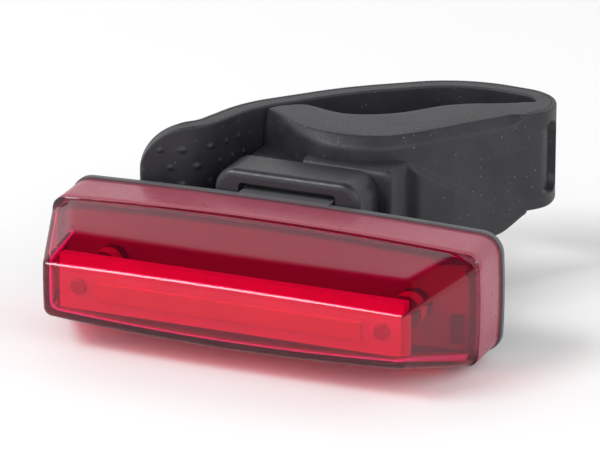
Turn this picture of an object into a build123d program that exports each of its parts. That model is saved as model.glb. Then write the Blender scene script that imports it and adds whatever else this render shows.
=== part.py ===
"""Bike rear light: a long red lamp that slides on a bracket, held to a seatpost by a slotted rubber strap.

Millimetres, +Z up. The lamp faces -Y and its long side lies along X. Everything is modelled about the
middle of the lamp's rear edge, and at the end it is moved so that the origin is the middle of the
footprint, on the surface that the light stands on.
"""

import math
import os

from build123d import *

# Lens outline, seen from the front
RIM_HALF = 38.0
RIM_TOP = 11.0
RIM_BOTTOM = 10.4
RIM_CORNER = 3.4
RIM_CROWN = 0.7
FRONT_CORNER = 2.2
FRONT_CROWN = 1.2
BOTTOM_BOW = 1.2
END_BOW = 0.4

# Lens profile, seen from the side
WALL_DEPTH = 8.6
WALL_DRAFT = 0.2
SHELF_DEPTH = 19.1
SHELF_HEIGHT = 8.0
LENS_DEPTH = 25.0
BROW_HEIGHT = 4.3
BROW_CROWN = 0.3
FACE_BOTTOM = 5.85
FACE_HALF = 31.5
FACE_CORNER = 0.9
SHELF_HALF = 29.1
HIP_HEIGHT = 7.6
LENS_WALL = 1.2

# Housing behind the lens
FIT = 0.2
TUB_WALL = 1.1
TUB_RIM_DEPTH = 0.4
DECK_THICK = 1.2
TUB_FRONT = 8.3
COVER_LIP = 0.3
COVER_THICK = 0.8
PLUG_DEPTH = 1.2
SEAL_THICK = 0.8
COVER_SCREW_X = 34.0
COVER_SCREW_TOP = 6.2
COVER_SCREW_LOW = 5.2
COVER_SCREW_RADIUS = 0.9
COVER_SCREW_HEAD = 1.7
COVER_SCREW_LENGTH = 5.6
BOSS_RADIUS = 1.9

# Lamp board
BOARD_FRONT = 21.4
BOARD_HALF = 29.9
BOARD_TOP = 4.6
BOARD_BOTTOM = 4.0
BOARD_THICK = 0.8
CARRIER_THICK = 1.0
BOARD_SCREW_X = 26.4
BOARD_SCREW_RADIUS = 0.75
BOARD_SCREW_HEAD = 1.35
BOARD_SCREW_HEAD_HEIGHT = 0.8
BOARD_SCREW_LENGTH = 6.0
POST_RADIUS = 2.4
LAMP_COUNT = 26
LAMP_PITCH = 1.72
LAMP_SIZE = 1.0
LAMP_HEIGHT = 0.35
LAMP_ROW_Z = -0.5
STRIP_HALF = 22.9
STRIP_TALL = 3.2
STRIP_THICK = 0.5

# Charging and driver board, with what stands on it
MAIN_LEFT = 9.5
MAIN_RIGHT = 31.6
MAIN_TOP = 6.5
MAIN_BOTTOM = 5.2
MAIN_FRONT = 5.8
MAIN_THICK = 1.0
PEG_RADIUS = 1.0
BUTTON_X = 20.5
BUTTON_Z = -0.8
BUTTON_RADIUS = 4.2
BUTTON_FLANGE = 5.1
BUTTON_PROUD = 1.4
FLANGE_THICK = 0.6
BUTTON_TRAVEL = 0.5
BUTTON_GAP = 0.3
STEM_RADIUS = 1.2
SWITCH_SIZE = 4.6
SWITCH_THICK = 1.6
PLUNGER_RADIUS = 0.9
PLUNGER_PROUD = 0.55
SOCKET_X = 28.5
SOCKET_WIDE = 3.0
SOCKET_TALL = 8.0
SOCKET_SHEET = 0.3
SOCKET_MOUTH = 0.6
SOCKET_TONGUE = 0.7
PORT_GAP = 0.6
FLAP_BORDER = 1.2
FLAP_THICK = 1.0
FLAP_BEAD = 0.7
FLAP_GAP = 0.3
CHARGE_LENS_RADIUS = 0.8
CHARGE_LENS_Z = 5.6

# Cell
CELL_LEFT = -32.0
CELL_RIGHT = 3.0
CELL_TOP = 6.2
CELL_BOTTOM = 4.9
CELL_THICK = 4.5
LEAD_RADIUS = 0.5
LEAD_SPACING = 2.6
RIBBON_X = 18.0
RIBBON_Z = -3.2
RIBBON_WIDE = 3.0
RIBBON_THICK = 0.5

# Tongue on the cover and the cage that it slides into
TONGUE_NECK_HALF = 8.0
TONGUE_HEAD_HALF = 10.4
TONGUE_TOP = 11.6
TONGUE_BOTTOM = 3.6
TONGUE_NECK_DEPTH = 3.3
TONGUE_HEAD_DEPTH = 5.5
SLIDE_GAP = 0.25
CAGE_HALF = 13.0
CAGE_TOP = 15.0
CAGE_BOTTOM = 6.0
CAGE_BACK = 8.7
CAGE_CORNER = 3.6
CAGE_EDGE = 1.2
WINDOW_HALF = 8.6
WINDOW_TOP = 12.9
WINDOW_CORNER = 0.8
DETENT_RADIUS = 0.7
DETENT_PROUD = 0.5
DETENT_HALF = 3.0
DETENT_Z = 1.0
MOUNT_SCREW_X = 7.0
MOUNT_SCREW_Z = 5.5
MOUNT_SCREW_RADIUS = 1.1
MOUNT_SCREW_HEAD = 2.0
MOUNT_SCREW_HEAD_HEIGHT = 1.2
PLATE_HALF = 11.5
PLATE_TOP = 12.5
PLATE_BOTTOM = 1.5
PLATE_FRONT = 11.4
PLATE_THICK = 1.6

# Rubber pad that sits against the seatpost
PAD_TOP = 19.3
PAD_BOTTOM = 4.7
PAD_FRONT = 12.6
PAD_BEVEL = 1.2
BOSS_HALF = 15.3
BOSS_TOP = 15.9
BOSS_BOTTOM = 4.0
BOSS_FRONT = 8.8
BOSS_EDGE = 1.6
SADDLE_RADIUS = 13.6
SADDLE_X = 1.2
SADDLE_Y = 36.9
SADDLE_FROM = -14.0
SADDLE_TO = -128.0

# Rubber band that goes round the post, in plan from the hinge to the end of the finger tab
BAND_THICK = 3.4
BAND_TALL = 17.0
BAND_ROUTE = [(26.0, 46.1), (12.5, 47.6), (-3.5, 35.5), (-15.6, 21.2), (-19.0, 8.0), (-27.8, 4.3)]
BAND_RADII = [20.0, 50.0, 20.0, 7.0]
BAND_GAP = 0.35
BEND_GAP = 0.1
BAND_OPENING = 50.0
SLOT_LONG = 12.5
SLOT_WIDE = 5.4
SLOT_PITCH = 11.0
HOOKED_SLOT = 45.0
SLOTS_IN_BAND = 4

# Hook
HOOK_THICK = 1.6
HOOK_TALL = 8.6
HOOK_PROUD = 1.4
HOOK_LIP = 0.8
HOOK_LIP_THICK = 1.0
HOOK_PLAY = 0.35
HOOK_ROOT = 2.0
HOOK_FOOT = 5.0

# Places that follow from the sizes above
COVER_BACK = COVER_THICK
TUB_BACK = PLUG_DEPTH + SEAL_THICK
DECK_FRONT = TUB_FRONT - TUB_RIM_DEPTH
DECK_BACK = DECK_FRONT - DECK_THICK
MAIN_BACK = MAIN_FRONT - MAIN_THICK
SWITCH_BACK = MAIN_BACK - SWITCH_THICK
BAND_MID = PAD_TOP - BAND_TALL / 2


def between(low, high):
    """A block from one corner to the opposite one."""
    size = [b - a for a, b in zip(low, high)]
    return Pos(*low) * Box(*size, align=(Align.MIN, Align.MIN, Align.MIN))


def rod(x, z, y_from, y_to, radius):
    """A round rod along Y."""
    length = abs(y_to - y_from)
    middle = (y_from + y_to) / 2
    return Pos(x, middle, z) * Rot(90, 0, 0) * Cylinder(radius, length)


def across(y):
    """The plane across the lamp at one depth, with its own Y upwards."""
    return Plane.XZ.offset(-y)


def outline(y, half, top, bottom, crown, corner):
    """Outline of the lamp at one depth: top and bottom bowed, ends slightly so, corners round."""
    top_end, low_end = top - crown, BOTTOM_BOW - bottom
    middle = (top_end + low_end) / 2
    side = half - END_BOW
    with BuildSketch(across(y)) as shape:
        with BuildLine():
            ThreePointArc((-side, top_end), (0, top), (side, top_end))
            ThreePointArc((side, top_end), (half, middle), (side, low_end))
            ThreePointArc((side, low_end), (0, -bottom), (-side, low_end))
            ThreePointArc((-side, low_end), (-half, middle), (-side, top_end))
        make_face()
        fillet(shape.vertices(), corner)
    return shape.sketch


def inset_line(points, inset):
    """An open line of (depth, distance) points moved towards the lamp's middle by the inset."""
    normals = []
    for (y1, d1), (y2, d2) in zip(points, points[1:]):
        length = math.dist((y1, d1), (y2, d2))
        normals.append(((d2 - d1) / length, (y1 - y2) / length))
    moved = [(points[0][0] + inset * normals[0][0], points[0][1] - inset * normals[0][1])]
    for (y, d), one, two in zip(points[1:], normals, normals[1:]):
        share = inset / (1 + one[0] * two[0] + one[1] * two[1])
        moved.append((y + share * (one[0] + two[0]), d - share * (one[1] + two[1])))
    return moved


def reach(line, y):
    """Distance from the middle to a line at one depth."""
    for (y1, d1), (y2, d2) in zip(line, line[1:]):
        if y >= y2 - 0.001:
            return d1 + (d2 - d1) * (y1 - y) / (y1 - y2)
    return line[-1][1]


def lens_lines(inset):
    """Top, underside and plan of the lens as lines from its rear edge to the front face."""
    top = [
        (0, RIM_TOP), (-WALL_DEPTH, RIM_TOP - WALL_DRAFT), (-SHELF_DEPTH, SHELF_HEIGHT), (-LENS_DEPTH, BROW_HEIGHT),
        (-LENS_DEPTH, 0),
    ]
    low = [
        (0, RIM_BOTTOM), (-WALL_DEPTH, RIM_BOTTOM - WALL_DRAFT), (-LENS_DEPTH, FACE_BOTTOM), (-LENS_DEPTH, 0),
    ]
    plan = [(0, RIM_HALF), (-WALL_DEPTH, RIM_HALF - WALL_DRAFT), (-LENS_DEPTH, FACE_HALF), (-LENS_DEPTH, 0)]
    return [inset_line(line, inset) for line in (top, low, plan)]


def lens_outline(y, inset, crown, corner):
    top, low, plan = lens_lines(inset)
    return outline(y, reach(plan, y), reach(top, y), reach(low, y), crown, corner)


def wall_outline(y, inset):
    """Section of the wall: its corners tighten and its crown grows from the rear edge to the front."""
    share = -y / WALL_DEPTH
    crown = RIM_CROWN + (FRONT_CROWN - RIM_CROWN) * share
    corner = RIM_CORNER + (FRONT_CORNER - RIM_CORNER) * share
    return lens_outline(y, inset, crown, max(corner - inset, 0.6))


def rim_slab(y_back, y_front, inset):
    """A slab across the drafted wall, between two depths."""
    return loft([wall_outline(y_back, inset), wall_outline(y_front, inset)], ruled=True)


def hip_plane(side, inset):
    """The plane at one end between the two long ridges, moved inwards by the inset."""
    ridge = Vector(side * SHELF_HALF, -SHELF_DEPTH, SHELF_HEIGHT)
    brow = Vector(side * FACE_HALF, -LENS_DEPTH, BROW_HEIGHT - BROW_CROWN)
    hip = Vector(side * (RIM_HALF - END_BOW), -WALL_DEPTH, HIP_HEIGHT)
    normal = (brow - ridge).cross(hip - ridge).normalized()
    if normal.Z < 0:
        normal = normal * -1
    return Plane(origin=ridge - normal * inset, z_dir=normal)


def lens_form(inset):
    """The lens's closed form: the wall, then a nose of two facets with cut corners at both ends."""
    top = lens_lines(inset)[0]
    wall_front, ridge, front = top[1][0], top[2][0], inset - LENS_DEPTH
    corner = max(FACE_CORNER - inset, 0.3)
    sections = [
        wall_outline(wall_front, inset),
        lens_outline(ridge, inset, 0.02, corner),
        lens_outline(front, inset, BROW_CROWN, corner),
    ]
    nose = loft(sections[:2], ruled=True) + loft(sections[1:], ruled=True)
    for side in (-1, 1):
        nose = split(nose, bisect_by=hip_plane(side, inset), keep=Keep.BOTTOM)
    return rim_slab(0, wall_front, inset) + nose


def lens():
    return lens_form(0) - lens_form(LENS_WALL)


def inner_housing():
    """Dark tub inside the wall: its deck carries the lamp board in front and the cell behind."""
    inset = LENS_WALL + FIT
    tub = rim_slab(-TUB_BACK, -TUB_FRONT, inset)
    tub -= rim_slab(-TUB_BACK, -DECK_BACK, inset + TUB_WALL)
    tub -= rim_slab(-DECK_FRONT, -TUB_FRONT, inset + TUB_WALL)
    carrier_back = BOARD_FRONT - BOARD_THICK - CARRIER_THICK
    for side in (-1, 1):
        tub += rod(side * BOARD_SCREW_X, 0, -carrier_back, -DECK_BACK, POST_RADIUS)
        tub += between(
            (side * 33.4 - 0.9, -DECK_FRONT - 1.6, -5.2), (side * 33.4 + 0.9, -DECK_BACK, -0.6)
        )
        for z in (COVER_SCREW_TOP, -COVER_SCREW_LOW):
            tub += rod(side * COVER_SCREW_X, z, -DECK_BACK, -TUB_BACK, BOSS_RADIUS)
    for x in (MAIN_LEFT + 2.0, MAIN_RIGHT - 2.0):
        for z in (MAIN_TOP - 2.0, 2.0 - MAIN_BOTTOM):
            tub += rod(x, z, -DECK_BACK, -MAIN_FRONT, PEG_RADIUS)
    tub &= rim_slab(-TUB_BACK, -TUB_FRONT, inset) + between((-60, -LENS_DEPTH, -9), (60, -TUB_FRONT, 9))
    slot = (RIBBON_WIDE / 2 + FIT, RIBBON_THICK / 2 + FIT)
    tub -= between(
        (RIBBON_X - slot[0], -DECK_FRONT - 0.1, RIBBON_Z - slot[1]),
        (RIBBON_X + slot[0], -DECK_BACK + 0.1, RIBBON_Z + slot[1]),
    )
    return tub - board_screws() - cover_screws()


def rear_cover():
    """Rear cover: lip, plug inside the wall, openings for the button and the inlet, and the tongue."""
    lip = outline(
        0, RIM_HALF + COVER_LIP, RIM_TOP + COVER_LIP, RIM_BOTTOM + COVER_LIP, RIM_CROWN, RIM_CORNER + COVER_LIP
    )
    cover = extrude(lip, -COVER_THICK)
    cover += rim_slab(0, -PLUG_DEPTH, LENS_WALL + FIT)
    cover += tongue()
    cover -= rod(BUTTON_X, BUTTON_Z, -PLUG_DEPTH - 1, COVER_BACK + 1, BUTTON_RADIUS + BUTTON_GAP)
    wide = SOCKET_WIDE / 2 + PORT_GAP
    tall = SOCKET_TALL / 2 + PORT_GAP
    cover -= between(
        (SOCKET_X - wide, -PLUG_DEPTH - 1, -tall), (SOCKET_X + wide, COVER_BACK + 1, tall)
    )
    groove_half = wide + FLAP_BORDER + FLAP_GAP
    cover -= Pos(SOCKET_X, COVER_BACK + 0.1, flap_axis_z()) * Rot(0, 90, 0) * Cylinder(
        FLAP_BEAD + FLAP_GAP, 2 * groove_half
    )
    cover -= rod(BUTTON_X, CHARGE_LENS_Z, -PLUG_DEPTH - 1, COVER_BACK + 1, CHARGE_LENS_RADIUS)
    return cover - cover_screws()


def flap_axis_z():
    """Height of the flap's hinge line, just under the inlet's opening."""
    return -(SOCKET_TALL / 2 + PORT_GAP + FLAP_BORDER + FLAP_BEAD)


def tongue():
    """T-shaped tongue on the back of the cover, with a groove and a dimple for the cage's detent."""
    neck = between(
        (-TONGUE_NECK_HALF, 0, -TONGUE_BOTTOM), (TONGUE_NECK_HALF, TONGUE_HEAD_DEPTH, TONGUE_TOP)
    )
    head = between(
        (-TONGUE_HEAD_HALF, TONGUE_NECK_DEPTH, -TONGUE_BOTTOM), (TONGUE_HEAD_HALF, TONGUE_HEAD_DEPTH, TONGUE_TOP)
    )
    head = chamfer(head.edges().filter_by(Axis.Y).group_by(Axis.Z)[-1], 1.5)
    whole = neck + head
    groove = DETENT_PROUD
    whole -= between(
        (-DETENT_HALF - 0.3, TONGUE_HEAD_DEPTH - groove, DETENT_Z), (DETENT_HALF + 0.3, TONGUE_HEAD_DEPTH + 1, 20)
    )
    dimple = Cylinder(DETENT_RADIUS + 0.15, 2 * DETENT_HALF + 0.6)
    return whole - Pos(0, TONGUE_HEAD_DEPTH - groove + 0.2, DETENT_Z) * Rot(0, 90, 0) * dimple


def cover_seal():
    inset = LENS_WALL + FIT
    ring = rim_slab(-PLUG_DEPTH, -TUB_BACK, inset + 0.1)
    ring -= rim_slab(-PLUG_DEPTH, -TUB_BACK, inset + TUB_WALL)
    for side in (-1, 1):
        for z in (COVER_SCREW_TOP, -COVER_SCREW_LOW):
            ring -= rod(side * COVER_SCREW_X, z, -TUB_BACK - 1, 0, COVER_SCREW_RADIUS)
    return ring


def cover_screws():
    """Four countersunk screws through the cover into the tub's corner bosses."""
    screws = []
    for side in (-1, 1):
        for z in (COVER_SCREW_TOP, -COVER_SCREW_LOW):
            head = Pos(side * COVER_SCREW_X, COVER_BACK - 0.5, z) * Rot(-90, 0, 0) * Cone(
                COVER_SCREW_RADIUS, COVER_SCREW_HEAD, 1.0
            )
            shank = rod(side * COVER_SCREW_X, z, COVER_BACK - COVER_SCREW_LENGTH, COVER_BACK - 0.9, COVER_SCREW_RADIUS)
            screws.append(head + shank)
    return Compound(screws)


def board_blank(y_front, y_back):
    return between((-BOARD_HALF, -y_front, -BOARD_BOTTOM), (BOARD_HALF, -y_back, BOARD_TOP))


def led_board():
    return board_blank(BOARD_FRONT, BOARD_FRONT - BOARD_THICK) - board_screws()


def board_carrier():
    back = BOARD_FRONT - BOARD_THICK
    plate = board_blank(back, back - CARRIER_THICK) - board_screws()
    return plate - between(
        (RIBBON_X - RIBBON_WIDE / 2 - FIT, -back - 0.1, RIBBON_Z - RIBBON_THICK / 2 - FIT),
        (RIBBON_X + RIBBON_WIDE / 2 + FIT, -back + CARRIER_THICK + 0.1, RIBBON_Z + RIBBON_THICK / 2 + FIT),
    )


def board_screws():
    screws = []
    for side in (-1, 1):
        x = side * BOARD_SCREW_X
        head = rod(x, 0, -BOARD_FRONT - BOARD_SCREW_HEAD_HEIGHT, -BOARD_FRONT, BOARD_SCREW_HEAD)
        head = fillet(head.edges().group_by(Axis.Y)[0], 0.4)
        shank = rod(x, 0, -BOARD_FRONT, -BOARD_FRONT + BOARD_SCREW_LENGTH, BOARD_SCREW_RADIUS)
        screws.append(head + shank)
    return Compound(screws)


def led_chips():
    half = LAMP_SIZE / 2
    chips = []
    for place in range(LAMP_COUNT):
        x = (place - (LAMP_COUNT - 1) / 2) * LAMP_PITCH
        chips.append(
            between(
                (x - half, -BOARD_FRONT - LAMP_HEIGHT, LAMP_ROW_Z - half),
                (x + half, -BOARD_FRONT, LAMP_ROW_Z + half),
            )
        )
    return Compound(chips)


def led_strip():
    strip = between(
        (-STRIP_HALF, -BOARD_FRONT - STRIP_THICK, LAMP_ROW_Z - STRIP_TALL / 2),
        (STRIP_HALF, -BOARD_FRONT, LAMP_ROW_Z + STRIP_TALL / 2),
    )
    strip = chamfer(strip.faces().sort_by(Axis.Y)[0].edges(), 0.12)
    return strip - led_chips()


def main_board():
    return between((MAIN_LEFT, -MAIN_FRONT, -MAIN_BOTTOM), (MAIN_RIGHT, -MAIN_BACK, MAIN_TOP))


def lamp_leads():
    """Flat ribbon from the driver board through the deck and the carrier to the lamp board."""
    return between(
        (RIBBON_X - RIBBON_WIDE / 2, -BOARD_FRONT + BOARD_THICK, RIBBON_Z - RIBBON_THICK / 2),
        (RIBBON_X + RIBBON_WIDE / 2, -MAIN_FRONT, RIBBON_Z + RIBBON_THICK / 2),
    )


def battery():
    cell = between((CELL_LEFT, -DECK_BACK, -CELL_BOTTOM), (CELL_RIGHT, -DECK_BACK + CELL_THICK, CELL_TOP))
    return fillet(cell.edges().filter_by(Axis.X), 1.4)


def battery_pad():
    back = DECK_BACK - CELL_THICK
    return between((CELL_LEFT + 2, -back, -CELL_BOTTOM + 2), (CELL_RIGHT - 2, -PLUG_DEPTH, CELL_TOP - 2))


def battery_leads():
    y = -MAIN_BACK + LEAD_RADIUS
    leads = []
    for side in (-1, 1):
        leads.append(
            Pos((CELL_RIGHT + MAIN_LEFT + 2) / 2, y, side * LEAD_SPACING / 2)
            * Rot(0, 90, 0)
            * Cylinder(LEAD_RADIUS, MAIN_LEFT + 2 - CELL_RIGHT)
        )
    return Compound(leads)


def switch_body():
    half = SWITCH_SIZE / 2
    body = between(
        (BUTTON_X - half, -MAIN_BACK, BUTTON_Z - half), (BUTTON_X + half, -SWITCH_BACK, BUTTON_Z + half)
    )
    return body - rod(BUTTON_X, BUTTON_Z, -SWITCH_BACK - 1.1, -SWITCH_BACK, PLUNGER_RADIUS + 0.05)


def switch_plunger():
    return rod(BUTTON_X, BUTTON_Z, -SWITCH_BACK - 0.5, -SWITCH_BACK + PLUNGER_PROUD, PLUNGER_RADIUS)


def button_cap():
    """Rubber-topped button: the flange stays behind the cover, the stem stands on the switch."""
    flange_back = -PLUG_DEPTH - BUTTON_GAP
    flange_front = flange_back - FLANGE_THICK
    cap = rod(BUTTON_X, BUTTON_Z, flange_front, COVER_BACK + BUTTON_PROUD, BUTTON_RADIUS)
    cap = fillet(cap.edges().group_by(Axis.Y)[-1], 0.8)
    cap += rod(BUTTON_X, BUTTON_Z, flange_front, flange_back, BUTTON_FLANGE)
    cap += rod(BUTTON_X, BUTTON_Z, -SWITCH_BACK + PLUNGER_PROUD, flange_front, STEM_RADIUS)
    return cap


def usb_socket():
    """Pressed metal shell with a contact tongue, standing on the board and open to the rear."""
    half_wide, half_tall = SOCKET_WIDE / 2, SOCKET_TALL / 2
    shell = between(
        (SOCKET_X - half_wide, -MAIN_BACK, -half_tall), (SOCKET_X + half_wide, -SOCKET_MOUTH, half_tall)
    )
    shell = fillet(shell.edges().filter_by(Axis.Y), 0.8)
    shell -= between(
        (SOCKET_X - half_wide + SOCKET_SHEET, -MAIN_BACK + 0.6, -half_tall + SOCKET_SHEET),
        (SOCKET_X + half_wide - SOCKET_SHEET, 0, half_tall - SOCKET_SHEET),
    )
    return shell + between(
        (SOCKET_X - SOCKET_TONGUE / 2, -MAIN_BACK, -half_tall + 1.2),
        (SOCKET_X + SOCKET_TONGUE / 2, -SOCKET_MOUTH - 0.6, half_tall - 1.2),
    )


def usb_flap():
    """Rubber cover of the inlet: plate, plug and the bead that it turns on."""
    wide = SOCKET_WIDE / 2 + PORT_GAP
    tall = SOCKET_TALL / 2 + PORT_GAP
    face = COVER_BACK + FLAP_GAP
    plate = between(
        (SOCKET_X - wide - FLAP_BORDER, face, flap_axis_z()),
        (SOCKET_X + wide + FLAP_BORDER, face + FLAP_THICK, tall + FLAP_BORDER),
    )
    plate = fillet(plate.edges().filter_by(Axis.Y).group_by(Axis.Z)[-1], 1.4)
    plate = fillet(plate.edges().group_by(Axis.Z)[0].sort_by(Axis.Y)[-1], 0.8 * FLAP_THICK)
    plug = between(
        (SOCKET_X - wide + FLAP_GAP, FLAP_GAP - SOCKET_MOUTH, FLAP_GAP - tall),
        (SOCKET_X + wide - FLAP_GAP, face, tall - FLAP_GAP),
    )
    bead = Pos(SOCKET_X, COVER_BACK + 0.1, flap_axis_z()) * Rot(0, 90, 0) * Cylinder(
        FLAP_BEAD, 2 * (wide + FLAP_BORDER)
    )
    return plate + plug + bead


def charge_lens():
    return rod(BUTTON_X, CHARGE_LENS_Z, -MAIN_BACK, COVER_BACK, CHARGE_LENS_RADIUS)


def bracket_cage():
    """Plastic cage: rounded front, closed top, open below, with the slot that the tongue slides in."""
    front = COVER_BACK + SLIDE_GAP
    with BuildSketch(across(front)) as outline:
        with BuildLine():
            Polyline(
                (-CAGE_HALF, -CAGE_BOTTOM), (CAGE_HALF, -CAGE_BOTTOM), (CAGE_HALF, CAGE_TOP), (-CAGE_HALF, CAGE_TOP),
                close=True,
            )
        make_face()
        fillet(outline.vertices().group_by(Axis.Z)[-1], CAGE_CORNER)
    cage = extrude(outline.sketch, front - CAGE_BACK)
    upper = [edge for edge in cage.edges().group_by(Axis.Y)[0] if edge.center().Z > -CAGE_BOTTOM + 0.1]
    cage = fillet(upper, CAGE_EDGE)
    pocket_front = TONGUE_NECK_DEPTH - SLIDE_GAP
    pocket_back = TONGUE_HEAD_DEPTH + SLIDE_GAP
    half = TONGUE_HEAD_HALF + SLIDE_GAP
    cage -= between((-half, pocket_front, -CAGE_BOTTOM - 1), (half, pocket_back, TONGUE_TOP + SLIDE_GAP))
    window = between((-WINDOW_HALF, front - 1, -CAGE_BOTTOM - 1), (WINDOW_HALF, pocket_front + 0.1, WINDOW_TOP))
    window = fillet(window.edges().filter_by(Axis.Y).group_by(Axis.Z)[-1], WINDOW_CORNER)
    cage -= window
    bump = Cylinder(DETENT_RADIUS, 2 * DETENT_HALF)
    bump = Pos(0, pocket_back - DETENT_PROUD + DETENT_RADIUS, DETENT_Z) * Rot(0, 90, 0) * bump
    return cage + bump - mount_screws()


def mount_screws():
    """Two countersunk screws from inside the cage into the plate in the rubber."""
    start = TONGUE_HEAD_DEPTH + SLIDE_GAP
    screws = []
    for side in (-1, 1):
        x = side * MOUNT_SCREW_X
        middle = start + MOUNT_SCREW_HEAD_HEIGHT / 2
        head = Pos(x, middle, MOUNT_SCREW_Z) * Rot(-90, 0, 0) * Cone(
            MOUNT_SCREW_HEAD, MOUNT_SCREW_RADIUS, MOUNT_SCREW_HEAD_HEIGHT
        )
        shank = rod(x, MOUNT_SCREW_Z, start + 0.6, PLATE_FRONT + PLATE_THICK, MOUNT_SCREW_RADIUS)
        screws.append(head + shank)
    return Compound(screws)


def plate_blank():
    plate = between(
        (-PLATE_HALF, PLATE_FRONT, -PLATE_BOTTOM), (PLATE_HALF, PLATE_FRONT + PLATE_THICK, PLATE_TOP)
    )
    return fillet(plate.edges().filter_by(Axis.Y), 2.0)


def mount_plate():
    return plate_blank() - mount_screws()


def band_path():
    """Plan line of the band's middle: straight runs joined by tangent arcs."""
    points = [(x, y, BAND_MID) for x, y in BAND_ROUTE]
    return Wire(FilletPolyline(*points, radius=BAND_RADII).edges())


def band_sweep(path, thick, tall):
    """An upright strip of one thickness along a plan line."""
    start = path.position_at(0)
    along = path.tangent_at(0)
    section = Plane(origin=start, x_dir=Vector(-along.Y, along.X, 0), z_dir=along) * Rectangle(thick, tall)
    return sweep(section, path=path)


def slot_frame(path, distance):
    """Plane at a place on the band: local X along the band to the tab, Z outwards."""
    place = path.position_at(distance, position_mode=PositionMode.LENGTH)
    along = path.tangent_at(distance, position_mode=PositionMode.LENGTH)
    return Plane(origin=place, x_dir=along, z_dir=Vector(along.Y, -along.X, 0))


def slot_cut(frame):
    return frame * extrude(SlotOverall(SLOT_LONG, SLOT_WIDE, rotation=90), 10, both=True)


def strap_band(bend):
    """Far side of the strap with its row of slots, and the finger tab with its round end."""
    path = band_path()
    band = band_sweep(path, BAND_THICK, BAND_TALL)
    for place in range(SLOTS_IN_BAND):
        band -= slot_cut(slot_frame(path, HOOKED_SLOT - place * SLOT_PITCH))
    tip = path.position_at(1)
    along = path.tangent_at(1)
    radius = BAND_TALL / 2
    end_frame = Plane(origin=tip - along * radius, x_dir=along, z_dir=Vector(-along.Y, along.X, 0))
    corner = Box(radius + 1, BAND_TALL + 2, 12, align=(Align.MIN, Align.CENTER, Align.CENTER))
    corner -= Cylinder(radius, 14)
    band -= end_frame * corner
    return clear_of_bend(band, bend)


def clear_of_bend(band, bend):
    """The band's end is cleared by the pad's end, turned through the whole opening."""
    x, y = BAND_ROUTE[0]
    axis = Axis((x, y, 0), (0, 0, 1))
    knuckle = Pos(x, y, BAND_MID) * Cylinder(BAND_THICK / 2 + BEND_GAP, BAND_TALL + 2)
    band -= knuckle
    steps = 10
    for step in range(steps + 1):
        band -= bend.rotate(axis, step * BAND_OPENING / steps)
    return band


def bend_route():
    """Plan line of the thin end of the pad, from the wing to the hinge."""
    return [(31.5, 38.2), (31.3, 42.8), (29.4, 45.3), BAND_ROUTE[0]]


def bend_strip(grow):
    """The thin end of the pad, grown all round by a gap."""
    points = [(x, y, BAND_MID) for x, y in bend_route()]
    path = Wire(FilletPolyline(*points, radius=[3.0, 3.0]).edges())
    return band_sweep(path, BAND_THICK + 2 * grow, BAND_TALL + 2 * grow)


def pad_outline():
    """Plan of the pad: flat front, right-hand wing, hairpin end, saddle and the face under the band."""
    saddle_end = [
        (SADDLE_X + SADDLE_RADIUS * math.cos(math.radians(turn)), SADDLE_Y + SADDLE_RADIUS * math.sin(math.radians(turn)))
        for turn in (SADDLE_FROM, (SADDLE_FROM + SADDLE_TO) / 2, SADDLE_TO)
    ]
    half = BAND_THICK / 2
    wing_end = bend_route()[0]
    with BuildSketch(Plane.XY.offset(PAD_TOP)) as outline:
        with BuildLine():
            Line((-13.6, PAD_FRONT), (10.0, PAD_FRONT))
            Spline(
                (10.0, PAD_FRONT), (14.9, 15.4), (19.7, 21.2), (24.8, 27.2), (30.4, 33.4),
                (wing_end[0] + half, wing_end[1]),
                tangents=[(1, 0), (0, 1)],
            )
            Line((wing_end[0] + half, wing_end[1]), (wing_end[0] + half, wing_end[1] + 1.5))
            Line((wing_end[0] + half, wing_end[1] + 1.5), (27.6, wing_end[1] + 3.6))
            Spline(
                (27.6, wing_end[1] + 3.6), (24.6, 39.5), (19.6, 36.9), saddle_end[0],
                tangents=[(-0.8, -0.6), (-0.3, -1)],
            )
            ThreePointArc(saddle_end[0], saddle_end[1], saddle_end[2])
            Line(saddle_end[2], (-10.5, 29.0))
            Line((-10.5, 29.0), (-16.8, 18.5))
            Line((-16.8, 18.5), (-13.6, PAD_FRONT))
        make_face()
    return outline.sketch


def strap_pad():
    """Rubber saddle with the boss for the bracket, deep at the lamp and narrower towards the bend."""
    pad = extrude(pad_outline(), -(PAD_TOP + PAD_BOTTOM))
    pad = chamfer([edge for edge in pad.edges().group_by(Axis.Z)[-1] if is_outer(edge)], PAD_BEVEL)
    pad -= under_cut()
    pad += bend_strip(0)
    x, y = BAND_ROUTE[0]
    pad += Pos(x, y, BAND_MID) * Cylinder(BAND_THICK / 2, BAND_TALL)
    boss = between((-BOSS_HALF, BOSS_FRONT, -BOSS_BOTTOM), (BOSS_HALF, PAD_FRONT + 2, BOSS_TOP))
    boss = fillet(boss.edges().filter_by(Axis.Y).group_by(Axis.Z)[-1], 3.0)
    boss = fillet(boss.edges().group_by(Axis.Y)[0], BOSS_EDGE)
    pad += boss
    path = band_path()
    pad -= band_sweep(path, BAND_THICK + 2 * BAND_GAP, BAND_TALL + 40) & between((-40, 0, -20), (0, 60, 40))
    pad -= slot_cut(Plane(origin=(bend_route()[0][0] - 1, bend_route()[0][1] + 2.4, BAND_MID), x_dir=(0, 1, 0), z_dir=(1, 0, 0)))
    return pad - plate_blank() - mount_screws() - strap_hook()


def is_outer(edge):
    """True for the pad's edges on the lamp's side and round the outside of the wing."""
    middle = edge.position_at(0.5)
    return middle.Y < PAD_FRONT + 0.1 or (middle.X > 10 and middle.Y < 1.25 * middle.X - 0.5)


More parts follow.
